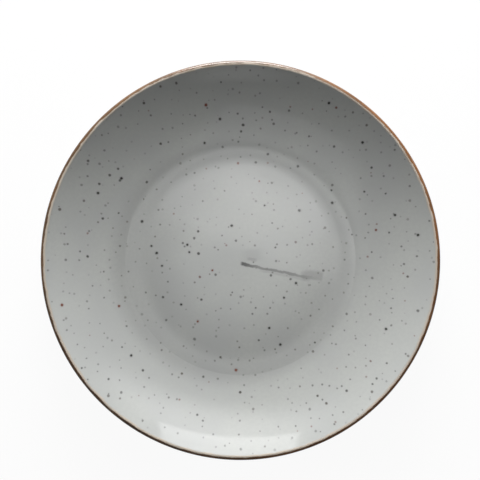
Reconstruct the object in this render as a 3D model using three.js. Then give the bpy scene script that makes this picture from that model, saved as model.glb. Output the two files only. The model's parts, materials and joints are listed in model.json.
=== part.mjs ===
// Flat coupe plate in glazed stoneware, in millimetres, +Z up.
// The origin lies on the table, at the centre of the foot ring.
// Every piece is a revolve of one section: the clay body's outline, or a coat laid over a stretch of it.
import * as THREE from 'three';

// Overall size, measured over the glaze
const PLATE_DIAMETER = 270;
const PLATE_HEIGHT = 30;

// Well: a level floor that curves into a gentle slope, up to a soft ring line where the wall begins
const WELL_FLOOR_DIAMETER = 117;
const WELL_CURVE_RUN = 13;
const WELL_SLOPE_RUN = 7;
const WELL_SLOPE = THREE.MathUtils.degToRad(3.8);
const WALL_START_SLOPE = THREE.MathUtils.degToRad(9.5);

// Clay: the floor's thickness is kept out to the foot's shoulder, then the wall tapers to the lip
const FLOOR_THICKNESS = 5;
const LIP_THICKNESS = 3.6;

// Foot ring: its diameter is at the middle of the land, the flat face that stands on the table
const FOOT_DIAMETER = 150;
const FOOT_LAND = 2.2;
const FOOT_EDGE = 0.7;
const FOOT_DRAFT = THREE.MathUtils.degToRad(18);
const FOOT_DEPTH = 3;
const FOOT_FILLET_RUN = 4;
const SHOULDER_RUN = 6;

// Coats: a strip above the foot's rounded edges stays bare, and the band laps past the round of the lip
const GLAZE_THICKNESS = 0.4;
const BOND_GAP = 0.05;
const BARE_STRIP = 0.6;
const BAND_LAP_INSIDE = 0.4;
const BAND_LAP_OUTSIDE = 2;

// Facets
const RADIAL_SEGMENTS = 64;
const EDGE_STEPS = 2;
const FILLET_STEPS = 3;
const BACK_STEPS = 6;
const LIP_STEPS = 6;
const WALL_STEPS = 7;
const CURVE_STEPS = 3;

const COAT_OUTSIDE = BOND_GAP + GLAZE_THICKNESS;

// The point at a distance from another, along the upward normal of a surface with this slope.
function alongNormal(point, slope, distance) {
  return new THREE.Vector2(point.x - distance * Math.sin(slope), point.y + distance * Math.cos(slope));
}

// A circular arc of the section, given by its slope at each end.
function arc(centre, radius, slopeFrom, slopeTo, steps) {
  const points = [];
  for (let step = 0; step <= steps; step += 1) {
    points.push(alongNormal(centre, THREE.MathUtils.lerp(slopeFrom, slopeTo, step / steps), -radius));
  }
  return points;
}

// A rounded corner between two points of the section.
function blend(from, corner, to, steps) {
  return new THREE.QuadraticBezierCurve(from, corner, to).getPoints(steps);
}

// Face of the clay: floor, curve and slope of the well, and a wall whose middle line ends in the lip's centre
const floorTop = FOOT_DEPTH + FLOOR_THICKNESS;
const floorRadius = WELL_FLOOR_DIAMETER / 2;
const curveRadius = WELL_CURVE_RUN / Math.sin(WELL_SLOPE);
const curveCentre = new THREE.Vector2(floorRadius, floorTop + curveRadius);
const curveEnd = alongNormal(curveCentre, WELL_SLOPE, -curveRadius);
const slopeRise = WELL_SLOPE_RUN * Math.tan(WELL_SLOPE);
const ringLine = new THREE.Vector2(curveEnd.x + WELL_SLOPE_RUN, curveEnd.y + slopeRise);

const lipRadius = LIP_THICKNESS / 2;
const lipInset = COAT_OUTSIDE + lipRadius;
const lipCentre = new THREE.Vector2(PLATE_DIAMETER / 2 - lipInset, PLATE_HEIGHT - lipInset);
const middleStart = alongNormal(ringLine, WALL_START_SLOPE, -lipRadius);
const middleChord = lipCentre.clone().sub(middleStart);
const middleTurn = middleChord.angle() - WALL_START_SLOPE;
const middleRadius = middleChord.length() / (2 * Math.sin(middleTurn));
const wallCentre = alongNormal(middleStart, WALL_START_SLOPE, middleRadius);
const wallRadius = middleRadius - lipRadius;
const lipSlope = WALL_START_SLOPE + 2 * middleTurn;

// Height of the clay's face at a distance from the axis.
function faceHeight(distance) {
  if (distance <= floorRadius) {
    return floorTop;
  }
  if (distance > curveEnd.x && distance < ringLine.x) {
    return curveEnd.y + (distance - curveEnd.x) * Math.tan(WELL_SLOPE);
  }
  const inCurve = distance <= curveEnd.x;
  const centre = inCurve ? curveCentre : wallCentre;
  const radius = inCurve ? curveRadius : wallRadius;
  return centre.y - radius * Math.sqrt(1 - ((distance - centre.x) / radius) ** 2);
}

// Foot ring: from the corners beside the land both sides lean away by the draft
const footHalfWidth = FOOT_LAND / 2 + FOOT_EDGE;
const footInner = new THREE.Vector2(FOOT_DIAMETER / 2 - footHalfWidth, 0);
const footOuter = new THREE.Vector2(FOOT_DIAMETER / 2 + footHalfWidth, 0);
const landInner = new THREE.Vector2(footInner.x + FOOT_EDGE, 0);
const landOuter = new THREE.Vector2(footOuter.x - FOOT_EDGE, 0);
const glazeLine = FOOT_EDGE + BARE_STRIP;

function innerSide(height) {
  return new THREE.Vector2(footInner.x - height * Math.tan(FOOT_DRAFT), height);
}

function outerSide(height) {
  return new THREE.Vector2(footOuter.x + height * Math.tan(FOOT_DRAFT), height);
}

const recessCorner = innerSide(FOOT_DEPTH);
const recessEdge = new THREE.Vector2(recessCorner.x - FOOT_FILLET_RUN, FOOT_DEPTH);

// Back of the wall: an arc from the foot's shoulder that runs out along the lip
const shoulderRadius = footOuter.x + SHOULDER_RUN;
const shoulder = new THREE.Vector2(shoulderRadius, faceHeight(shoulderRadius) - FLOOR_THICKNESS);
const lipBack = alongNormal(lipCentre, lipSlope, -lipRadius);
const backChord = lipBack.clone().sub(shoulder);
const backTurn = lipSlope - backChord.angle();
const backRadius = backChord.length() / (2 * Math.sin(backTurn));
const backCentre = alongNormal(lipBack, lipSlope, backRadius);
const shoulderSlope = lipSlope - 2 * backTurn;

// The foot's outer side and the back's first tangent meet in the corner that the shoulder rounds off
const shoulderRise = Math.tan(shoulderSlope);
const cornerHeight =
  (shoulder.y - SHOULDER_RUN * shoulderRise) / (1 - Math.tan(FOOT_DRAFT) * shoulderRise);

// Seams: the coats stop a bond gap short of the band
const bandSlopeInside = lipSlope - BAND_LAP_INSIDE / wallRadius;
const glazeSlopeInside = bandSlopeInside - BOND_GAP / wallRadius;
const bandSlopeOutside = lipSlope - BAND_LAP_OUTSIDE / backRadius;
const glazeSlopeOutside = bandSlopeOutside - BOND_GAP / backRadius;

// Outline of the clay body in five stretches, from the axis below, round the lip, to the axis above
const baseStretch = [
  new THREE.Vector2(0, FOOT_DEPTH),
  ...blend(recessEdge, recessCorner, innerSide(glazeLine), FILLET_STEPS),
];
const footStretch = [
  ...blend(innerSide(FOOT_EDGE), footInner, landInner, EDGE_STEPS),
  ...blend(landOuter, footOuter, outerSide(FOOT_EDGE), EDGE_STEPS),
];
const backStretch = [
  ...blend(outerSide(glazeLine), outerSide(cornerHeight), shoulder, FILLET_STEPS).slice(0, -1),
  ...arc(backCentre, backRadius, shoulderSlope, glazeSlopeOutside, BACK_STEPS),
];
const lipStretch = [
  alongNormal(backCentre, bandSlopeOutside, -backRadius),
  ...arc(lipCentre, lipRadius, lipSlope, lipSlope + Math.PI, LIP_STEPS),
  alongNormal(wallCentre, bandSlopeInside, -wallRadius),
];
const faceStretch = [
  ...arc(wallCentre, wallRadius, glazeSlopeInside, WALL_START_SLOPE, WALL_STEPS),
  ...arc(curveCentre, curveRadius, WELL_SLOPE, 0, CURVE_STEPS),
  new THREE.Vector2(0, floorTop),
];
const outline = [...baseStretch, ...footStretch, ...backStretch, ...lipStretch, ...faceStretch];

// Outward normal of the edge that starts at an outline point; the ends take their only edge.
function edgeNormal(index) {
  const start = THREE.MathUtils.clamp(index, 0, outline.length - 2);
  const edge = outline[start + 1].clone().sub(outline[start]).normalize();
  return new THREE.Vector2(edge.y, -edge.x);
}

// The outline moved outward so that every edge stays parallel to itself.
function offsetOutline(distance) {
  return outline.map((point, index) => {
    const before = edgeNormal(index - 1);
    const after = edgeNormal(index);
    const reach = distance / (1 + before.dot(after));
    return point.clone().addScaledVector(before.add(after), reach);
  });
}

const coatInner = offsetOutline(BOND_GAP);
const coatOuter = offsetOutline(COAT_OUTSIDE);

// Section of a coat over one stretch of the outline.
function coatSection(stretch) {
  const first = outline.indexOf(stretch[0]);
  const end = first + stretch.length;
  return [...coatOuter.slice(first, end), ...coatInner.slice(first, end).reverse()];
}

// A closed section turned about the plate's axis.
function revolve(name, section, material) {
  const mesh = new THREE.Mesh(new THREE.LatheGeometry([...section, section[0]], RADIAL_SEGMENTS), material);
  mesh.name = name;
  return mesh;
}

const clay = new THREE.MeshStandardMaterial({ color: 0xcbbda6, roughness: 0.8, metalness: 0 });
const faceGlaze = new THREE.MeshStandardMaterial({ color: 0xa6a9a8, roughness: 0.15, metalness: 0 });
const backGlaze = new THREE.MeshStandardMaterial({ color: 0xa6a9a8, roughness: 0.18, metalness: 0 });
const baseGlaze = new THREE.MeshStandardMaterial({ color: 0xa2a5a4, roughness: 0.2, metalness: 0 });
const ironBand = new THREE.MeshStandardMaterial({ color: 0x6b4a33, roughness: 0.3, metalness: 0 });

// Revolves turn about Y, so the plate is tipped up to stand along +Z
const plate = new THREE.Group();
plate.rotation.x = Math.PI / 2;
plate.add(revolve('clay_body', outline, clay));
plate.add(revolve('face_glaze', coatSection(faceStretch), faceGlaze));
plate.add(revolve('back_glaze', coatSection(backStretch), backGlaze));
plate.add(revolve('base_glaze', coatSection(baseStretch), baseGlaze));
plate.add(revolve('rim_band', coatSection(lipStretch), ironBand));

export default plate;
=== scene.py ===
"""A flat coupe plate in glossy speckled stoneware, in metres.

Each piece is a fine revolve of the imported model's section, slightly uneven as fired ware is.
"""
import json
import math

import bpy
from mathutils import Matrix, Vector, noise


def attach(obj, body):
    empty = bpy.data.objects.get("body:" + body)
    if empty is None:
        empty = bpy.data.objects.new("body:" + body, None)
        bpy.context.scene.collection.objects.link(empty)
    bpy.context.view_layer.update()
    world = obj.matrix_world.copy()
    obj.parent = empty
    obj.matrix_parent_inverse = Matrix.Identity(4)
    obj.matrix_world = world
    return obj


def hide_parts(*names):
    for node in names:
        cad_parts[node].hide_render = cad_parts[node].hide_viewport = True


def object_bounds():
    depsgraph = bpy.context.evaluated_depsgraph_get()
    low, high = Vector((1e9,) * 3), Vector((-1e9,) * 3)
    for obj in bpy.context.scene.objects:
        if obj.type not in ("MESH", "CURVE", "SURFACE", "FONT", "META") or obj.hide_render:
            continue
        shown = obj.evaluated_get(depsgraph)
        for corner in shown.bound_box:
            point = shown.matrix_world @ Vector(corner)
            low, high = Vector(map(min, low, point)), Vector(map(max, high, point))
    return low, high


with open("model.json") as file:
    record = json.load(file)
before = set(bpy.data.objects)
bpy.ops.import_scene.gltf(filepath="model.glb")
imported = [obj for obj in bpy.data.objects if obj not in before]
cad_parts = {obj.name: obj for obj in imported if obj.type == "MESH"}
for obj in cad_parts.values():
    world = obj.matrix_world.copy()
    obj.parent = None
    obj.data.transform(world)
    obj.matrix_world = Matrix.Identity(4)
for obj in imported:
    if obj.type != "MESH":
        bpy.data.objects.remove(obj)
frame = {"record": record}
cad_low, cad_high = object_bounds()
scene = bpy.context.scene

MM = 0.001

# The section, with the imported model's sizes. The well's curve and slope are fitted to the reflections
# in the photograph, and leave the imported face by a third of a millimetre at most. The seams beside the
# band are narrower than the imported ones.
PLATE_RADIUS = cad_high.x
PLATE_HEIGHT = cad_high.z
WELL_FLOOR_RADIUS = 63 * MM
WELL_CURVE_RUN = 8.5 * MM
WELL_SLOPE_RUN = 8 * MM
WELL_SLOPE = math.radians(3.9)
WALL_START_SLOPE = math.radians(9.5)
FLOOR_THICKNESS = 5 * MM
LIP_THICKNESS = 3.6 * MM
FOOT_RADIUS = 75 * MM
FOOT_LAND = 2.2 * MM
FOOT_EDGE = 0.7 * MM
FOOT_DRAFT = math.radians(18)
FOOT_DEPTH = 3 * MM
FOOT_FILLET_RUN = 4 * MM
SHOULDER_RUN = 6 * MM
GLAZE_THICKNESS = 0.4 * MM
BOND_GAP = 0.05 * MM
SEAM_GAP = 0.01 * MM
BARE_STRIP = 0.6 * MM
BAND_LAP_INSIDE = 0.4 * MM
BAND_LAP_OUTSIDE = 2 * MM

# Unevenness of the fired ware: a slow warp that grows towards the rim, with a quick one over it, and a ring
# line that is crisp in front and rounded behind
WARP_HEIGHT = 0.10 * MM
WARP_LENGTH = 70 * MM
WARP_IN_MIDDLE = 0.5
QUICK_WARP_LENGTH = WARP_LENGTH / 3
QUICK_WARP_SHARE = 0.25
RING_ROUND_START = 15 * MM
RING_ROUND_END = 60 * MM
RING_ROUND_REACH = 3 * MM
RING_CRISP_REACH = 0.5 * MM

# Fineness of the visual model: segments round the axis, and steps along each stretch of the section
SEGMENTS = 320
RECESS_STEPS = 24
FILLET_STEPS = 12
EDGE_STEPS = 8
SHOULDER_STEPS = 14
BACK_STEPS = 40
LAP_OUTSIDE_STEPS = 6
LIP_STEPS = 32
LAP_INSIDE_STEPS = 4
WALL_STEPS = 60
SLOPE_STEPS = 8
CURVE_STEPS = 16
FLOOR_STEPS = 40
CREASE_ANGLE = math.radians(40)

# Points nearer to the axis than this lie on it, and points that agree to this many digits are one
AXIS_REACH = 1e-9
PLACE_DIGITS = 9

# Baking map: centre and radius of the round charts, and the band's rows with the share of each line in a row
LARGE_CHART = (0.5, 0.47)
SMALL_CHART = (0.075, 0.07)
BAND_ROWS = 10
BAND_ROW_MARGIN = 0.01
BAND_SHOWN_SHARE = (0.02, 0.74)
BAND_HIDDEN_SHARE = (0.78, 0.98)

# The photograph: pixels of the plate's outline in a square frame
PHOTO_WIDTH = 480
PHOTO_PLATE_CENTRE = (240.48, 260.32)
PHOTO_PLATE_RADIUS = 199.75
CAMERA_DISTANCE = 0.9
SENSOR_WIDTH = 36
HEIGHT_TRIES = 8

# Glaze: pale and dark clouds, a fine grain, an uneven gloss and a slight ripple
CLOUD_SIZE = 34 * MM
CLOUD_DARK = (0.97, 0.97, 0.98)
CLOUD_PALE = (1.03, 1.03, 1.02)
GRAIN_SIZE = 2.2 * MM
GRAIN_SHARE = 0.5
GRAIN_TONE = (0.96, 0.96, 0.96)
GLOSS_SIZE = 18 * MM
GLOSS_ROUGHNESS = (0.07, 0.10)
RIPPLE_SIZE = 5 * MM
RIPPLE_DEPTH = 0.004 * MM
NOISE_MEAN = 0.5

# The face is darker around the ring line, partly where glaze pooled and partly painted shade, and paler in
# the middle and at the rim, partly thin glaze and partly painted light
POOLED_AND_SHADED_TONE = (0.845, 0.845, 0.845)
POOL_AND_SHADE_MIDDLE = (-5.5 * MM, -1.5 * MM, 0)
POOL_AND_SHADE_RISE = (28 * MM, 72 * MM)
POOL_AND_SHADE_FALL = (90 * MM, 76 * MM)
MIDDLE_PALE_AND_LIT_TONE = (1.07, 1.07, 1.07)
MIDDLE_PALE_AND_LIT_FADE = (60 * MM, 20 * MM)
THIN_AND_LIT_TONE = (1.05, 1.05, 1.05)
THIN_AND_LIT_FADE = (95 * MM, 135 * MM)

# Iron specks: their colours, the chances of brown and rust, ragged outlines and soft edges
SPECK_DARK = (0.028, 0.026, 0.025)
SPECK_BROWN = (0.060, 0.046, 0.037)
SPECK_RUST = (0.150, 0.048, 0.034)
BROWN_CHANCE = (0.55, 0.85)
RUST_CHANCE = (0.95, 0.97)
SECOND_DRAW = 7.0
SEED_SHIFT = (0.731, 0.317)
RAGGED_SIZE = 1.3 * MM
RAGGED_REACH = 0.6 * MM
SCATTERED_EDGE = (-0.60 * MM, 0.30 * MM)
PLACED_EDGE = (-0.25 * MM, 0.30 * MM)
PLACED_COVER = 0.95
HALO_EDGE = (-1.0 * MM, 0.0)
HALO_COVER = 0.2
FAR_OUTSIDE = -1.0

# Kinds of scattered specks: cell, radii, depths of colour and the share of cells that have one, which a
# coat's own share multiplies
SPECK_KINDS = [
    (8 * MM, (0.22 * MM, 0.52 * MM), (0.20, 0.65), 1.0),
    (13 * MM, (0.40 * MM, 0.70 * MM), (0.35, 0.85), 0.7),
    (30 * MM, (0.60 * MM, 0.85 * MM), (0.60, 0.90), 0.3),
]
SPECK_SHARE = 0.75
BASE_SPECK_SHARE = 0.40
CLAY_SPECKS = (4 * MM, (0.15 * MM, 0.40 * MM), (0.4, 0.8), 0.5)

# Specks that stand out in the photograph: pixel, and radius in millimetres
DARK_SPECKS = [
    (121.5, 178.3, 0.95), (142, 221.5, 0.95), (231.7, 225.7, 0.9), (299.4, 210.4, 0.95),
    (332.3, 202.8, 0.95), (156.7, 253, 0.9), (151.4, 246, 0.7), (187.3, 244.8, 0.8),
    (189.3, 252.2, 0.7), (162, 265.8, 0.7), (181.2, 304.5, 0.75), (280.3, 344.6, 0.85),
    (296, 283.1, 0.8), (284, 297.7, 0.7), (269.2, 328, 0.75), (131.2, 355.5, 0.8),
    (297.9, 166.3, 0.8), (268, 154.1, 0.7), (204.6, 143, 0.8), (264.6, 205.4, 0.65),
    (220, 119, 0.9), (329, 103, 0.85), (362.5, 142.5, 0.85), (98, 193, 0.9),
    (418, 235, 0.85), (386, 329, 0.85), (395, 215, 0.8),
]
RUST_SPECKS = [
    (236, 370, 1.0), (119, 306, 0.8), (206, 105, 0.95), (197.8, 321.4, 0.75),
    (212.3, 270.3, 0.65), (259.3, 181.3, 0.6), (376, 230, 0.7), (62, 305, 0.9),
]

# Grey scuffs on the well's floor, as metal leaves them: pixels of both ends
LONG_SCUFF = ((239.5, 263.5), (321, 279.7))
SCUFF_BODY = ((256, 268.2), (314, 279.6))
SCUFF_TAIL = ((299, 274.2), (324, 276.6))
SHORT_SCUFF = ((246, 258), (258, 261))
SMUDGE = ((236, 256), (268, 254))

# Each scuff: ends, half widths and strengths at its head and behind it, and the shares of its length over
# which its head and its tail fade out
SCUFFS = [
    (LONG_SCUFF, (1.6 * MM, 0.9 * MM), (0.95, 0.50), (0.04, 0.40)),
    (SCUFF_BODY, (1.6 * MM, 2.0 * MM), (0.20, 0.16), (0.20, 0.20)),
    (SCUFF_TAIL, (1.8 * MM, 3.3 * MM), (0.10, 0.27), (0.12, 0.12)),
    (SHORT_SCUFF, (1.2 * MM, 1.0 * MM), (0.18, 0.18), (0.30, 0.30)),
    (SMUDGE, (4.5 * MM, 4.5 * MM), (0.10, 0.10), (0.40, 0.40)),
]
SCUFF_GREY = (0.085, 0.085, 0.085)
SCUFF_SHAKE = 0.6 * MM
SCUFF_SHAKE_SIZE = 9 * MM
SCUFF_WIDTH_CHANGE = (0.0, 0.28)
SCUFF_STRENGTH_CHANGE = (0.02, 0.28)
SCUFF_EDGE = (1.3, 0.5)

# Band: brown outside the lip's crest, and warmer and lighter on one side, partly its own colour and partly
# painted light; tan over the crest, with wandering edges
BAND_TAN = (0.46, 0.40, 0.33)
BAND_UMBER = (0.100, 0.058, 0.032)
BAND_WANDER = 0.4 * MM
BAND_WANDER_SIZE = 8 * MM
BAND_PATCH_SIZE = 25 * MM
BAND_PATCH_TONE = (1.4, 1.35, 1.3)
BAND_WARM_LIT_SIDE = (0.96, -0.29, 0)
BAND_WARM_LIT_FADE = (-30 * MM, 90 * MM)
BAND_TAN_FADE = (-1.5 * MM, -0.6 * MM)
BAND_BROWN_FADE = (-0.15 * MM, 0.60 * MM)
BAND_LOWER_FADE = (0.2 * MM, 1.4 * MM)
BAND_ROUGHNESS = (0.13, 0.26)
BAND_GRAIN_SIZE = 2 * MM
BAND_GRAIN_DEPTH = 0.01 * MM

# Bare clay: fine grain and turning marks
CLAY_GRAIN_SIZE = 0.5 * MM
CLAY_DARK = (0.88, 0.87, 0.85)
CLAY_PALE = (1.06, 1.06, 1.06)
CLAY_ROUGHNESS = (0.75, 0.9)
CLAY_RELIEF = 0.04 * MM
TURNING_SCALE = 260.0
TURNING_DISTORTION = 0.6

# Studio: lamps and glowing sheets that face the plate's middle, and a floor of white paper
PLATE_MIDDLE = Vector((0, 0, 0.01))
LAMP_DISTANCE = 1.1
SHEET_DISTANCE = 1.2
SHEET_EVEN_SHARE = 0.15
AMBIENT_LIGHT = 0.1
WHITE = (1, 1, 1, 1)
PAPER_COLOUR = (0.8, 0.8, 0.8, 1)
PAPER_ROUGHNESS = 0.9
PAPER_SEEN = 0.94
PAPER_MIRRORED = 0.5
FLOOR_WIDTH = 8
FLOOR_DROP = 0.05 * MM

# Round sheet above the plate, brighter towards the back: along a line its glow rises in steps, each with its
# start, its end and the radiance that it adds, and then it ends
OVERHEAD_PLACE = Vector((0, -0.015, 1))
OVERHEAD_RADIUS = 0.185
OVERHEAD_EVEN_SHARE = 0.68
GLOW_LINE = (0.33, 0.944, 0)
GLOW_STEPS = [(-0.080, 0.0, 0.7), (0.0, 0.036, 1.7), (0.045, 0.118, 2.5)]
GLOW_END = (0.158, 0.128)


def add_object(name, data):
    """A new object of the scene."""
    added = bpy.data.objects.new(name, data)
    scene.collection.objects.link(added)
    return added


def along_normal(point, slope, distance):
    """The point at a distance from another, along the upward normal of a surface with this slope."""
    return Vector((point.x - distance * math.sin(slope), point.y + distance * math.cos(slope)))


def arc(centre, radius, slope_from, slope_to, steps):
    """A circular arc of the section, given by its slope at each end."""
    slopes = [slope_from + (slope_to - slope_from) * step / steps for step in range(steps + 1)]
    return [along_normal(centre, slope, -radius) for slope in slopes]


def straight(start, end, steps):
    """A straight run of the section."""
    return [start.lerp(end, step / steps) for step in range(steps + 1)]


def rounded(start, corner, end, steps):
    """A rounded corner between two points of the section."""
    legs = zip(straight(start, corner, steps), straight(corner, end, steps))
    return [leg.lerp(other, step / steps) for step, (leg, other) in enumerate(legs)]


def offset(points, distance):
    """The section line moved outward, which is to the right of its direction."""
    normals = []
    for start, end in zip(points, points[1:]):
        edge = (end - start).normalized()
        normals.append(Vector((edge.y, -edge.x)))
    before = [normals[0]] + normals
    after = normals + [normals[-1]]
    moved = []
    for point, first, second in zip(points, before, after):
        moved.append(point + (first + second) * (distance / (1 + first.dot(second))))
    return moved


# Face of the clay: floor, curve and slope of the well, and a wall whose middle line ends in the lip's centre
coat_outside = BOND_GAP + GLAZE_THICKNESS
floor_top = FOOT_DEPTH + FLOOR_THICKNESS
curve_radius = WELL_CURVE_RUN / math.sin(WELL_SLOPE)
curve_centre = Vector((WELL_FLOOR_RADIUS, floor_top + curve_radius))
curve_end = along_normal(curve_centre, WELL_SLOPE, -curve_radius)
ring_line = curve_end + Vector((WELL_SLOPE_RUN, WELL_SLOPE_RUN * math.tan(WELL_SLOPE)))
lip_radius = LIP_THICKNESS / 2
lip_inset = coat_outside + lip_radius
lip_centre = Vector((PLATE_RADIUS - lip_inset, PLATE_HEIGHT - lip_inset))
middle_start = along_normal(ring_line, WALL_START_SLOPE, -lip_radius)
middle_chord = lip_centre - middle_start
middle_turn = math.atan2(middle_chord.y, middle_chord.x) - WALL_START_SLOPE
middle_radius = middle_chord.length / (2 * math.sin(middle_turn))
wall_centre = along_normal(middle_start, WALL_START_SLOPE, middle_radius)
wall_radius = middle_radius - lip_radius
lip_slope = WALL_START_SLOPE + 2 * middle_turn


def face_height(distance):
    """Height of the clay's face at a distance from the axis."""
    if distance <= WELL_FLOOR_RADIUS:
        return floor_top
    if curve_end.x < distance < ring_line.x:
        return curve_end.y + (distance - curve_end.x) * math.tan(WELL_SLOPE)
    in_curve = distance <= curve_end.x
    centre = curve_centre if in_curve else wall_centre
    radius = curve_radius if in_curve else wall_radius
    return centre.y - math.sqrt(radius ** 2 - (distance - centre.x) ** 2)


# Foot ring: from the corners beside the land both sides lean away by the draft
foot_half_width = FOOT_LAND / 2 + FOOT_EDGE
foot_inner = Vector((FOOT_RADIUS - foot_half_width, 0))
foot_outer = Vector((FOOT_RADIUS + foot_half_width, 0))
land_inner = Vector((foot_inner.x + FOOT_EDGE, 0))
land_outer = Vector((foot_outer.x - FOOT_EDGE, 0))
glaze_line = FOOT_EDGE + BARE_STRIP


def inner_side(height):
    """The foot's inner side at a height."""
    return Vector((foot_inner.x - height * math.tan(FOOT_DRAFT), height))


def outer_side(height):
    """The foot's outer side at a height."""
    return Vector((foot_outer.x + height * math.tan(FOOT_DRAFT), height))


recess_corner = inner_side(FOOT_DEPTH)
recess_edge = Vector((recess_corner.x - FOOT_FILLET_RUN, FOOT_DEPTH))

# Back of the wall: an arc from the foot's shoulder that runs out along the lip
shoulder_radius = foot_outer.x + SHOULDER_RUN
shoulder = Vector((shoulder_radius, face_height(shoulder_radius) - FLOOR_THICKNESS))
lip_back = along_normal(lip_centre, lip_slope, -lip_radius)
back_chord = lip_back - shoulder
back_turn = lip_slope - math.atan2(back_chord.y, back_chord.x)
back_radius = back_chord.length / (2 * math.sin(back_turn))
back_centre = along_normal(lip_back, lip_slope, back_radius)
shoulder_slope = lip_slope - 2 * back_turn

# The foot's outer side and the back's first tangent meet in the corner that the shoulder rounds off
shoulder_rise = math.tan(shoulder_slope)
corner_height = (shoulder.y - SHOULDER_RUN * shoulder_rise) / (1 - math.tan(FOOT_DRAFT) * shoulder_rise)

# Seams of the coats beside the band
band_slope_inside = lip_slope - BAND_LAP_INSIDE / wall_radius
glaze_slope_inside = band_slope_inside - SEAM_GAP / wall_radius
band_slope_outside = lip_slope - BAND_LAP_OUTSIDE / back_radius
glaze_slope_outside = band_slope_outside - SEAM_GAP / back_radius

# Outline of the clay in five stretches, from the axis below, round the lip, to the axis above
base_stretch = straight(Vector((0, FOOT_DEPTH)), recess_edge, RECESS_STEPS)[:-1]
base_stretch += rounded(recess_edge, recess_corner, inner_side(glaze_line), FILLET_STEPS)
foot_stretch = rounded(inner_side(FOOT_EDGE), foot_inner, land_inner, EDGE_STEPS)
foot_stretch += rounded(land_outer, foot_outer, outer_side(FOOT_EDGE), EDGE_STEPS)
back_stretch = rounded(outer_side(glaze_line), outer_side(corner_height), shoulder, SHOULDER_STEPS)[:-1]
back_stretch += arc(back_centre, back_radius, shoulder_slope, glaze_slope_outside, BACK_STEPS)
lip_stretch = arc(back_centre, back_radius, band_slope_outside, lip_slope, LAP_OUTSIDE_STEPS)[:-1]
lip_stretch += arc(lip_centre, lip_radius, lip_slope, lip_slope + math.pi, LIP_STEPS)
lip_stretch += arc(wall_centre, wall_radius, lip_slope, band_slope_inside, LAP_INSIDE_STEPS)[1:]
face_stretch = arc(wall_centre, wall_radius, glaze_slope_inside, WALL_START_SLOPE, WALL_STEPS)[:-1]
face_stretch += straight(ring_line, curve_end, SLOPE_STEPS)[:-1]
face_stretch += arc(curve_centre, curve_radius, WELL_SLOPE, 0, CURVE_STEPS)[:-1]
face_stretch += straight(Vector((WELL_FLOOR_RADIUS, floor_top)), Vector((0, floor_top)), FLOOR_STEPS)

# Camera: straight above, moved so that the plate lies as in the photograph
pixel = PLATE_RADIUS / PHOTO_PLATE_RADIUS
camera_data = bpy.data.cameras.new("camera")
camera_data.sensor_width = SENSOR_WIDTH
camera_data.lens = SENSOR_WIDTH * CAMERA_DISTANCE / (PHOTO_WIDTH * pixel)
camera = add_object("camera", camera_data)
camera_place = Vector((
    (PHOTO_WIDTH / 2 - PHOTO_PLATE_CENTRE[0]) * pixel,
    (PHOTO_PLATE_CENTRE[1] - PHOTO_WIDTH / 2) * pixel,
    lip_centre.y + CAMERA_DISTANCE,
))
camera.location = camera_place
scene.camera = camera


def photo_point(across, down):
    """The place on the plate's face that shows at a pixel of the photograph.

    The place depends on the face's height there, so the two are found in turn.
    """
    height = lip_centre.y
    for _ in range(HEIGHT_TRIES):
        scale = pixel * (camera_place.z - height) / CAMERA_DISTANCE
        place = Vector((
            camera_place.x + (across - PHOTO_WIDTH / 2) * scale,
            camera_place.y + (PHOTO_WIDTH / 2 - down) * scale,
        ))
        height = face_height(place.length) + coat_outside
    return place


def ring_reach(point):
    """How far the ring line is rounded off to each side, near a point."""
    share = (point.y - RING_ROUND_START) / (RING_ROUND_END - RING_ROUND_START)
    return RING_ROUND_REACH * min(max(share, 0), 1)


def ring_lift(point):
    """How far the rounding of the ring line raises the face at a point."""
    reach = ring_reach(point)
    beside = abs(math.hypot(point.x, point.y) - ring_line.x)
    if point.z < floor_top or beside >= reach:
        return 0
    bend = math.tan(WALL_START_SLOPE) - math.tan(WELL_SLOPE)
    return bend * (reach - beside) ** 2 / (4 * reach)


def uneven(point):
    """A point of the plate moved as uneven firing leaves it: more at the rim, not at all on the foot."""
    outward = math.hypot(point.x, point.y) / PLATE_RADIUS
    above_foot = min(max((point.z - FOOT_DEPTH) / FLOOR_THICKNESS, 0), 1)
    slow = noise.noise(Vector((point.x, point.y, 0)) / WARP_LENGTH)
    quick = noise.noise(Vector((point.x, point.y, WARP_LENGTH)) / QUICK_WARP_LENGTH)
    warp = slow * (WARP_IN_MIDDLE + outward ** 3) + quick * QUICK_WARP_SHARE
    return Vector((point.x, point.y, point.z + WARP_HEIGHT * above_foot * warp + ring_lift(point)))


def lengths_along(points, first):
    """The distance along a line of each of its points, counted from the first one's."""
    lengths = [first]
    for start, end in zip(points, points[1:]):
        lengths.append(lengths[-1] + (end - start).length)
    return lengths


def chart_radii(points, longest):
    """Distances of a line's points from the centre of a round chart, measured along the line."""
    if points[0].x > points[-1].x:
        return chart_radii(points[::-1], longest)[::-1]
    lengths = lengths_along(points, points[0].x)
    return [length * longest / lengths[-1] for length in lengths]


def round_chart(points, centre, longest):
    """Places on the baking map for a line's surface laid out as a disc."""
    radii = chart_radii(points, longest)

    def place(step, turn, segment):
        angle = 2 * math.pi * turn / SEGMENTS
        return (centre + radii[step] * math.cos(angle), centre + radii[step] * math.sin(angle))
    return place


def strip_chart(points, low, high):
    """Places on the baking map for a narrow ring laid out as rows of strips."""
    per_row = SEGMENTS // BAND_ROWS
    lengths = lengths_along(points, 0)

    def place(step, turn, segment):
        row = segment // per_row
        along = BAND_ROW_MARGIN + (1 - 2 * BAND_ROW_MARGIN) * (turn - row * per_row) / per_row
        across = low + (high - low) * lengths[step] / lengths[-1]
        return (along, (row + across) / BAND_ROWS)
    return place


def place_key(point):
    """Points of the section with the same key share their vertices."""
    return (round(point.x, PLACE_DIGITS), round(point.y, PLACE_DIGITS))


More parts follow.
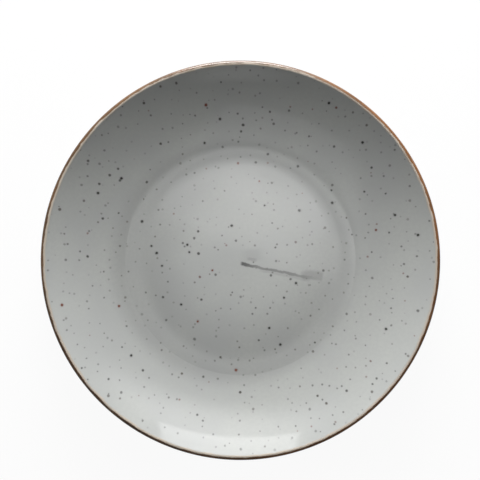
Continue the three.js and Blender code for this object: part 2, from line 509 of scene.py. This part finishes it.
def turned(point, vertices):
    """The vertices that a point of the section is turned into, one for each turn, added to a list."""
    first = len(vertices)
    if point.x < AXIS_REACH:
        vertices.append(uneven(Vector((0, 0, point.y))))
        return [first] * (SEGMENTS + 1)
    for turn in range(SEGMENTS):
        angle = 2 * math.pi * turn / SEGMENTS
        vertices.append(uneven(Vector((point.x * math.cos(angle), point.x * math.sin(angle), point.y))))
    return list(range(first, first + SEGMENTS)) + [first]


def patches(rings):
    """The faces between neighbouring rings: each one's segment, and its corners as steps and turns."""
    on_axis = [ring[0] == ring[1] for ring in rings]
    for step in range(len(rings) - 1):
        if on_axis[step] and on_axis[step + 1]:
            continue
        for segment in range(SEGMENTS):
            corners = [(step, segment), (step, segment + 1), (step + 1, segment + 1), (step + 1, segment)]
            # The two corners of a ring that lies on the axis are one
            if on_axis[step]:
                del corners[1]
            if on_axis[step + 1]:
                del corners[2]
            yield segment, corners


def sharpen(mesh, ring):
    """Marks a ring's edges as sharp, however flat they are, where the ring line isn't rounded off."""
    for edge in mesh.edges:
        crisp = ring_reach(mesh.vertices[edge.vertices[0]].co) < RING_CRISP_REACH
        if crisp and ring.issuperset(edge.vertices):
            edge.use_edge_sharp = True


def revolve(name, lines, ridge=None):
    """A closed solid turned about the plate's axis, from lines of its section with a chart for each.

    The ridge is the point of the section that is turned into the ring line.
    """
    vertices = []
    faces = []
    places = []
    known = {}
    for points, chart in lines:
        for point in points:
            if place_key(point) not in known:
                known[place_key(point)] = turned(point, vertices)
        rings = [known[place_key(point)] for point in points]
        for segment, corners in patches(rings):
            faces.append([rings[step][turn] for step, turn in corners])
            places += [chart(step, turn, segment) for step, turn in corners]

    mesh = bpy.data.meshes.new(name)
    mesh.from_pydata(vertices, [], faces)
    bake_map = mesh.uv_layers.new(name="OFBake")
    bake_map.data.foreach_set("uv", [number for place in places for number in place])
    mesh.shade_smooth()
    mesh.set_sharp_from_angle(angle=CREASE_ANGLE)
    if ridge:
        sharpen(mesh, set(known[place_key(ridge)]))
    return add_object(name, mesh)


def coat_lines(stretch):
    """The shown and the hidden line of a coat's section over a stretch of the outline."""
    outer = offset(stretch, coat_outside)
    inner = offset(stretch, BOND_GAP)
    return outer, [outer[-1]] + inner[::-1] + [outer[0]]


def coat(name, stretch, ridge_step=None):
    """A coat of glaze, its shown side on a large round chart and the hidden one in a corner."""
    shown, hidden = coat_lines(stretch)
    lines = [(shown, round_chart(shown, *LARGE_CHART)), (hidden, round_chart(hidden, *SMALL_CHART))]
    return revolve(name, lines, ridge=shown[ridge_step] if ridge_step else None)


class Nodes:
    """Short calls that build a node tree."""

    def __init__(self, tree):
        self.tree = tree

    def add(self, kind, inputs=None, **settings):
        """A node with its settings and with sockets or plain values on its inputs."""
        node = self.tree.nodes.new(kind)
        for setting, value in settings.items():
            setattr(node, setting, value)
        for socket, value in (inputs or {}).items():
            self.feed(node.inputs[socket], value)
        return node

    def feed(self, socket, value):
        """A socket takes another socket's output, or a plain value."""
        if isinstance(value, bpy.types.NodeSocket):
            self.tree.links.new(value, socket)
        else:
            socket.default_value = value

    def math(self, operation, first, second=0.0, third=0.0):
        """A number worked out from up to three others."""
        inputs = {0: first, 1: second, 2: third}
        return self.add("ShaderNodeMath", inputs, operation=operation).outputs[0]

    def vector(self, operation, first, second=(0, 0, 0)):
        """A vector, or the number that a length, a distance or a dot product gives."""
        node = self.add("ShaderNodeVectorMath", {0: first, 1: second}, operation=operation)
        gives_number = operation in ("LENGTH", "DISTANCE", "DOT_PRODUCT")
        return node.outputs["Value" if gives_number else "Vector"]

    def fade(self, value, start, end, low=0.0, high=1.0):
        """A smooth step of a value from low to high."""
        inputs = {"Value": value, "From Min": start, "From Max": end, "To Min": low, "To Max": high}
        return self.add("ShaderNodeMapRange", inputs, interpolation_type="SMOOTHSTEP").outputs["Result"]

    def mix(self, share, first, second, blend="MIX"):
        """A colour with a share of a second one mixed or blended in."""
        inputs = {0: share, 6: opaque(first), 7: opaque(second)}
        return self.add("ShaderNodeMix", inputs, data_type="RGBA", blend_type=blend).outputs[2]


class Look(Nodes):
    """Short calls that build one material."""

    def __init__(self, name):
        self.material = bpy.data.materials.new(name)
        self.material.use_nodes = True
        super().__init__(self.material.node_tree)
        self.shader = self.tree.nodes["Principled BSDF"]
        self.place = self.add("ShaderNodeTexCoord").outputs["Object"]

    def flat_place(self):
        """The place as it is seen from straight above."""
        return self.vector("MULTIPLY", self.place, (1, 1, 0))

    def noise(self, size, detail=2.0, output="Fac"):
        """Noise with features of a size, as a number or as a colour."""
        inputs = {"Vector": self.place, "Scale": 1 / size, "Detail": detail}
        return self.add("ShaderNodeTexNoise", inputs).outputs[output]

    def clouds(self, size, detail, spread, low=0.0, high=1.0):
        """Noise from low to high, over a spread to each side of its mean."""
        return self.fade(self.noise(size, detail), NOISE_MEAN - spread, NOISE_MEAN + spread, low, high)

    def paint(self, colour, roughness):
        """The shader's colour and roughness, each a socket or a plain value."""
        self.feed(self.shader.inputs["Base Color"], colour)
        self.feed(self.shader.inputs["Roughness"], roughness)

    def bump(self, height, depth):
        """Relief of a depth."""
        inputs = {"Height": height, "Distance": depth, "Strength": 1.0}
        self.feed(self.shader.inputs["Normal"], self.add("ShaderNodeBump", inputs).outputs["Normal"])

    def show(self, shader):
        """The material shows a shader's output in place of its own shader."""
        self.feed(self.tree.nodes["Material Output"].inputs["Surface"], shader.outputs[0])


def opaque(colour):
    """A plain colour with its alpha; a socket stays as it is."""
    return colour if isinstance(colour, bpy.types.NodeSocket) else (*colour, 1.0)


def tinted(colour, tone):
    """A colour multiplied by a tone."""
    return tuple(part * factor for part, factor in zip(colour, tone))


def scattered_specks(look, place, ground, cell, radii, depths, share, seed):
    """The ground colour with specks scattered over it, at most one in each cell, some deep in the glaze."""
    shift = (seed * SEED_SHIFT[0], seed * SEED_SHIFT[1], 0)
    inputs = {"Vector": look.vector("ADD", place, shift), "Scale": 1 / cell}
    cells = look.add("ShaderNodeTexVoronoi", inputs, voronoi_dimensions="2D").outputs
    chance = look.add("ShaderNodeSeparateColor", {"Color": cells["Color"]}).outputs
    radius = look.fade(chance["Green"], 0.0, 1.0, *radii)
    inside = look.math("MULTIPLY_ADD", cells["Distance"], -cell, radius)
    depth_chance = look.math("FRACT", look.math("MULTIPLY", chance["Blue"], SECOND_DRAW))
    strength = look.fade(depth_chance, 0.0, 1.0, *depths)
    strength = look.math("MULTIPLY", strength, look.math("LESS_THAN", chance["Red"], share))
    cover = look.math("MULTIPLY", look.fade(inside, *SCATTERED_EDGE), strength)
    tone = look.mix(look.fade(chance["Blue"], *BROWN_CHANCE), SPECK_DARK, SPECK_BROWN)
    tone = look.mix(look.fade(chance["Blue"], *RUST_CHANCE), tone, SPECK_RUST)
    return look.mix(cover, ground, tone)


def placed_specks(look, place, ground, specks, tone):
    """The ground colour with specks at given pixels of the photograph."""
    inside = FAR_OUTSIDE
    for across, down, radius in specks:
        distance = look.vector("DISTANCE", place, (*photo_point(across, down), 0))
        inside = look.math("MAXIMUM", inside, look.math("SUBTRACT", radius * MM, distance))
    core = look.fade(inside, *PLACED_EDGE, 0.0, PLACED_COVER)
    halo = look.fade(inside, *HALO_EDGE, 0.0, HALO_COVER)
    return look.mix(core, look.mix(halo, ground, tone), tone)


def scuffed(look, place, ground, ends, widths, strengths, fades):
    """The ground colour with a grey scuff that runs between two pixels of the photograph."""
    start, end = (photo_point(*end_pixel) for end_pixel in ends)
    run = end - start
    ahead = run.normalized()
    from_start = look.vector("SUBTRACT", place, (*start, 0))
    along = look.vector("DOT_PRODUCT", from_start, (*(ahead / run.length), 0))
    across = look.vector("DOT_PRODUCT", from_start, (-ahead.y, ahead.x, 0))
    shake = look.clouds(SCUFF_SHAKE_SIZE, detail=2.0, spread=0.25, low=-SCUFF_SHAKE, high=SCUFF_SHAKE)
    across = look.math("ABSOLUTE", look.math("ADD", across, shake))
    across = look.math("DIVIDE", across, look.fade(along, *SCUFF_WIDTH_CHANGE, *widths))
    cover = look.math("MULTIPLY", look.fade(across, *SCUFF_EDGE), look.fade(along, 0.0, fades[0]))
    cover = look.math("MULTIPLY", cover, look.fade(along, 1.0, 1.0 - fades[1]))
    cover = look.math("MULTIPLY", cover, look.fade(along, *SCUFF_STRENGTH_CHANGE, *strengths))
    return look.mix(cover, ground, SCUFF_GREY)


def pooled_and_painted_light(look, place, ground):
    """The ground colour with the face's tones: darker around the ring line, partly pooled glaze and partly
    painted shade, and paler in the middle and towards the rim, partly thin glaze and partly painted light.
    """
    radius = look.vector("LENGTH", look.flat_place())
    from_pool_and_shade = look.vector("DISTANCE", place, POOL_AND_SHADE_MIDDLE)
    pool_and_shade = look.math("MULTIPLY", look.fade(radius, *POOL_AND_SHADE_RISE), look.fade(from_pool_and_shade, *POOL_AND_SHADE_FALL))
    ground = look.mix(pool_and_shade, ground, POOLED_AND_SHADED_TONE, "MULTIPLY")
    ground = look.mix(look.fade(radius, *MIDDLE_PALE_AND_LIT_FADE), ground, MIDDLE_PALE_AND_LIT_TONE, "MULTIPLY")
    return look.mix(look.fade(radius, *THIN_AND_LIT_FADE), ground, THIN_AND_LIT_TONE, "MULTIPLY")


def speckled_glaze(name, colour, speck_share, is_face=False):
    """Glossy grey stoneware glaze with iron specks; the face also has what the photograph shows on it."""
    look = Look(name)
    ragged = look.vector("SUBTRACT", look.noise(RAGGED_SIZE, output="Color"), [NOISE_MEAN] * 3)
    ragged = look.vector("MULTIPLY", ragged, (RAGGED_REACH, RAGGED_REACH, 0))
    place = look.vector("ADD", look.flat_place(), ragged)

    clouds = look.clouds(CLOUD_SIZE, detail=3.0, spread=0.2)
    ground = look.mix(clouds, tinted(colour, CLOUD_DARK), tinted(colour, CLOUD_PALE))
    grain = look.clouds(GRAIN_SIZE, detail=3.0, spread=0.15, high=GRAIN_SHARE)
    ground = look.mix(grain, ground, tinted(colour, GRAIN_TONE))
    # The face's tones: pooled and thin glaze, with painted shade and painted light
    if is_face:
        ground = pooled_and_painted_light(look, place, ground)
    for seed, (cell, radii, depths, share) in enumerate(SPECK_KINDS, 1):
        ground = scattered_specks(look, place, ground, cell, radii, depths, speck_share * share, seed)
    if is_face:
        ground = placed_specks(look, place, ground, DARK_SPECKS, SPECK_DARK)
        ground = placed_specks(look, place, ground, RUST_SPECKS, SPECK_RUST)
        for scuff in SCUFFS:
            ground = scuffed(look, place, ground, *scuff)

    low, high = GLOSS_ROUGHNESS
    look.paint(ground, look.clouds(GLOSS_SIZE, detail=2.0, spread=0.2, low=low, high=high))
    look.bump(look.noise(RIPPLE_SIZE, detail=1.0), RIPPLE_DEPTH)
    return look.material


def iron_band(name, colour, glaze, lower_edge):
    """Brown iron oxide on the lip: a dark line outside its crest, tan over the crest, grey at the face."""
    look = Look(name)
    height = look.add("ShaderNodeSeparateXYZ", {"Vector": look.place}).outputs["Z"]
    past_crest = look.math("SUBTRACT", look.vector("LENGTH", look.flat_place()), lip_centre.x)
    below_crest = look.math("SUBTRACT", lip_centre.y, height)
    wander = look.clouds(BAND_WANDER_SIZE, detail=3.0, spread=0.25, low=-BAND_WANDER, high=BAND_WANDER)
    outward = look.math("ADD", look.math("MAXIMUM", past_crest, below_crest), wander)
    above_edge = look.math("ADD", look.math("SUBTRACT", height, lower_edge), wander)

    # The brown is warmer and lighter on one side, partly the band's own colour and partly painted light
    warm_and_lit = look.fade(look.vector("DOT_PRODUCT", look.place, BAND_WARM_LIT_SIDE), *BAND_WARM_LIT_FADE)
    patchy = look.clouds(BAND_PATCH_SIZE, detail=3.0, spread=0.15)
    brown = look.mix(patchy, look.mix(warm_and_lit, BAND_UMBER, colour), BAND_PATCH_TONE, "MULTIPLY")
    tan = look.mix(look.fade(outward, *BAND_TAN_FADE), glaze, BAND_TAN)
    cover = look.fade(outward, *BAND_BROWN_FADE)
    cover = look.math("MULTIPLY", cover, look.fade(above_edge, *BAND_LOWER_FADE))
    look.paint(look.mix(cover, tan, brown), look.fade(cover, 0.0, 1.0, *BAND_ROUGHNESS))
    look.bump(look.noise(BAND_GRAIN_SIZE), BAND_GRAIN_DEPTH)
    return look.material


def bare_clay(name, colour):
    """Bare buff stoneware, with fine grain and the marks of turning."""
    look = Look(name)
    grain = look.clouds(CLAY_GRAIN_SIZE, detail=3.0, spread=0.2)
    ground = look.mix(grain, tinted(colour, CLAY_DARK), tinted(colour, CLAY_PALE))
    ground = scattered_specks(look, look.place, ground, *CLAY_SPECKS, seed=len(SPECK_KINDS) + 1)
    look.paint(ground, look.fade(grain, 0.0, 1.0, *CLAY_ROUGHNESS))
    inputs = {
        "Vector": look.place,
        "Scale": TURNING_SCALE,
        "Distortion": TURNING_DISTORTION,
        "Detail": 2.0,
    }
    marks = look.add("ShaderNodeTexWave", inputs, wave_type="RINGS", rings_direction="Z").outputs["Fac"]
    look.bump(look.math("ADD", marks, grain), CLAY_RELIEF)
    return look.material


def dress(piece, material, node):
    """A piece takes the place of its CAD node, with its material."""
    piece.data.materials.append(material)
    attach(piece, "root")
    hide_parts(node)


# The body shows only its foot ring, so its underside has the large chart
below = base_stretch + foot_stretch + back_stretch[:1]
above = back_stretch + lip_stretch + face_stretch
body = revolve("stoneware_body", [
    (below, round_chart(below, *LARGE_CHART)),
    (above, round_chart(above, *SMALL_CHART)),
])
band_shown, band_hidden = coat_lines(lip_stretch)
band = revolve("rim_iron_band", [
    (band_shown, strip_chart(band_shown, *BAND_SHOWN_SHARE)),
    (band_hidden, strip_chart(band_hidden, *BAND_HIDDEN_SHARE)),
])
face = coat("speckled_face", face_stretch, ridge_step=WALL_STEPS)
back = coat("speckled_back", back_stretch)
base = coat("speckled_base", base_stretch)

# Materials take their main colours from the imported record
colours = {entry["slot"]: entry["base_color"] for entry in frame["record"]["materials"]}
clay = bare_clay("buff_stoneware", colours["clay"])
face_glaze = speckled_glaze("face_glaze", colours["face_glaze"], SPECK_SHARE, is_face=True)
back_glaze = speckled_glaze("back_glaze", colours["back_glaze"], SPECK_SHARE)
base_glaze = speckled_glaze("base_glaze", colours["base_glaze"], BASE_SPECK_SHARE)
iron = iron_band("iron_band", colours["iron_band"], colours["face_glaze"], band_shown[0].y)

dress(body, clay, "clay_body")
dress(face, face_glaze, "face_glaze")
dress(back, back_glaze, "back_glaze")
dress(base, base_glaze, "base_glaze")
dress(band, iron, "rim_band")


def from_plate(zenith, azimuth, distance):
    """A place seen from the plate at an angle from straight up, turned from +X, both in degrees."""
    tilt = math.radians(zenith)
    turn = math.radians(azimuth)
    aside = math.sin(tilt)
    return distance * Vector((aside * math.cos(turn), aside * math.sin(turn), math.cos(tilt)))


def face_plate(lamp, place):
    """Puts a lamp or a glowing sheet in its place, facing the plate and unseen by the camera."""
    lamp.location = place
    lamp.rotation_euler = (place - PLATE_MIDDLE).to_track_quat("Z", "Y").to_euler()
    lamp.visible_camera = False


def soft_box(name, zenith, azimuth, width, height, radiance):
    """A rectangular lamp that faces the plate."""
    data = bpy.data.lights.new(name, "AREA")
    data.shape = "RECTANGLE"
    data.size = width
    data.size_y = height
    data.energy = math.pi * width * height * radiance
    face_plate(add_object(name, data), from_plate(zenith, azimuth, LAMP_DISTANCE))


def stage_sheet(name, width, depth, material):
    """A flat rectangle of the studio."""
    across = width / 2
    along = depth / 2
    mesh = bpy.data.meshes.new(name)
    corners = [(-across, -along, 0), (across, -along, 0), (across, along, 0), (-across, along, 0)]
    mesh.from_pydata(corners, [], [(0, 1, 2, 3)])
    mesh.materials.append(material)
    sheet = add_object(name, mesh)
    return sheet


def from_sheet_middle(look, width, depth):
    """Distance from the middle of a sheet, as a share of an oval that fills it."""
    return look.vector("LENGTH", look.vector("DIVIDE", look.place, (width / 2, depth / 2, 1)))


def glowing_sheet(look, width, depth, strength, place):
    """A diffuser sheet that faces the plate from a place."""
    look.show(look.add("ShaderNodeEmission", {"Strength": strength}))
    sheet = stage_sheet(look.material.name, width, depth, look.material)
    face_plate(sheet, place)


def oval_sheet(name, zenith, azimuth, width, depth, radiance):
    """A diffuser sheet, even in its middle and fading to nothing at its edges."""
    look = Look(name)
    strength = look.fade(from_sheet_middle(look, width, depth), 1.0, SHEET_EVEN_SHARE, 0.0, radiance)
    glowing_sheet(look, width, depth, strength, from_plate(zenith, azimuth, SHEET_DISTANCE))


def overhead_sheet(name):
    """The round sheet above the plate, whose glow rises towards the back."""
    look = Look(name)
    width = 2 * OVERHEAD_RADIUS
    rise = look.vector("DOT_PRODUCT", look.place, GLOW_LINE)
    glow = 0.0
    for start, end, radiance in GLOW_STEPS:
        glow = look.math("ADD", glow, look.fade(rise, start, end, 0.0, radiance))
    glow = look.math("MULTIPLY", glow, look.fade(rise, *GLOW_END))
    edge = look.fade(from_sheet_middle(look, width, width), 1.0, OVERHEAD_EVEN_SHARE)
    glowing_sheet(look, width, width, look.math("MULTIPLY", glow, edge), OVERHEAD_PLACE)


# Lights: a low key lamp and a soft box behind the plate, weak fills, and sheets that the glaze mirrors
soft_box("low_back_key", zenith=72, azimuth=90.5, width=0.60, height=0.42, radiance=31.5)
soft_box("back_softbox", zenith=47.7, azimuth=86.5, width=0.64, height=0.22, radiance=3.75)
soft_box("front_fill", zenith=20, azimuth=250, width=0.50, height=0.40, radiance=0.45)
soft_box("left_fill", zenith=65, azimuth=175, width=0.50, height=0.50, radiance=0.15)
oval_sheet("upper_sheet", zenith=37, azimuth=80, width=1.70, depth=0.68, radiance=2.7)
oval_sheet("front_sheet", zenith=50, azimuth=270, width=0.70, depth=0.30, radiance=0.6)
overhead_sheet("overhead_sheet")

# World: white to the camera, dim ambient light to everything else
world = bpy.data.worlds.new("studio")
scene.world = world
world.use_nodes = True
sky = Nodes(world.node_tree)
ambient = sky.tree.nodes["Background"]
sky.feed(ambient.inputs["Color"], WHITE)
sky.feed(ambient.inputs["Strength"], AMBIENT_LIGHT)
backdrop = sky.add("ShaderNodeBackground", {"Color": WHITE})
to_camera = sky.add("ShaderNodeLightPath").outputs["Is Camera Ray"]
choice = sky.add("ShaderNodeMixShader", {0: to_camera, 1: ambient.outputs[0], 2: backdrop.outputs[0]})
sky.feed(sky.tree.nodes["World Output"].inputs["Surface"], choice.outputs[0])

# Floor: white paper, which glows for the camera and for reflections and keeps a faint shadow
paper = Look("white_paper")
paper.paint(PAPER_COLOUR, PAPER_ROUGHNESS)
paper_glow = paper.add("ShaderNodeEmission", {"Color": WHITE, "Strength": 1.0})
rays = paper.add("ShaderNodeLightPath").outputs
seen = paper.math("MULTIPLY", rays["Is Camera Ray"], PAPER_SEEN)
mirrored = paper.math("MULTIPLY", rays["Is Glossy Ray"], PAPER_MIRRORED)
share = paper.math("MAXIMUM", seen, mirrored)
paper.show(paper.add("ShaderNodeMixShader", {0: share, 1: paper.shader.outputs[0], 2: paper_glow.outputs[0]}))
floor = stage_sheet("floor", FLOOR_WIDTH, FLOOR_WIDTH, paper.material)
floor.location.z = -FLOOR_DROP

scene.view_settings.view_transform = "Standard"
